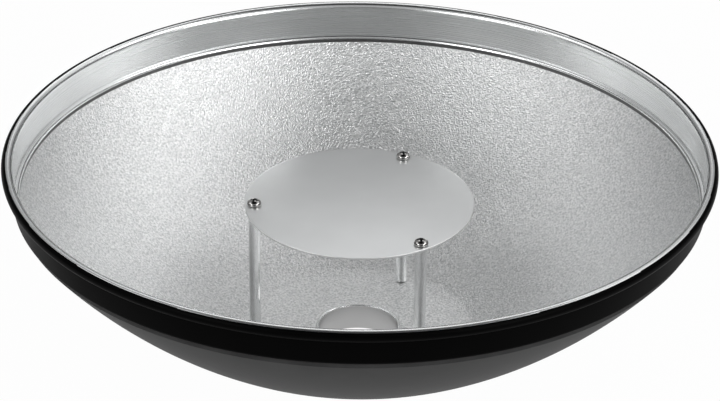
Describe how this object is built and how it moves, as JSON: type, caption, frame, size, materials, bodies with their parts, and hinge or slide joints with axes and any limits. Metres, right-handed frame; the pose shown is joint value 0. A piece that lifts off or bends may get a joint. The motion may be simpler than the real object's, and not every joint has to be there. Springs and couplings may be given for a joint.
{
  "type": "beauty dish reflector",
  "caption": "Shallow round studio flash reflector, silver inside and black outside, with a disc deflector on posts over the bulb hole and a bayonet collar behind.",
  "frame": {"origin": "centre of the mount collar's rear face, on which the dish stands with its open side up", "axes": "+Z along the dish's axis, from the collar towards the open side; +X towards the middle of the first bayonet lug"},
  "size_m": [0.3, 0.3, 0.0999],
  "materials": {
    "bowl": "pebbled silver inside, satin black paint outside",
    "rim_wire": "drawn wire",
    "deflector": "satin",
    "post": "polished",
    "screw": "nickel plated",
    "mount_plate": "satin black",
    "collar": "turned"
  },
  "bodies": {
    "root": {"reflector_bowl": "bowl", "rim_wire": "rim_wire", "deflector_plate": "deflector", "deflector_post_1": "post", "deflector_post_2": "post", "deflector_post_3": "post", "deflector_screw_1": "screw", "deflector_screw_2": "screw", "deflector_screw_3": "screw", "post_base_screw_1": "screw", "post_base_screw_2": "screw", "post_base_screw_3": "screw", "post_base_washer_1": "screw", "post_base_washer_2": "screw", "post_base_washer_3": "screw", "mount_plate": "mount_plate", "mount_collar": "collar", "collar_screw_1": "screw", "collar_screw_2": "screw", "collar_screw_3": "screw"}
  },
  "joints": []
}
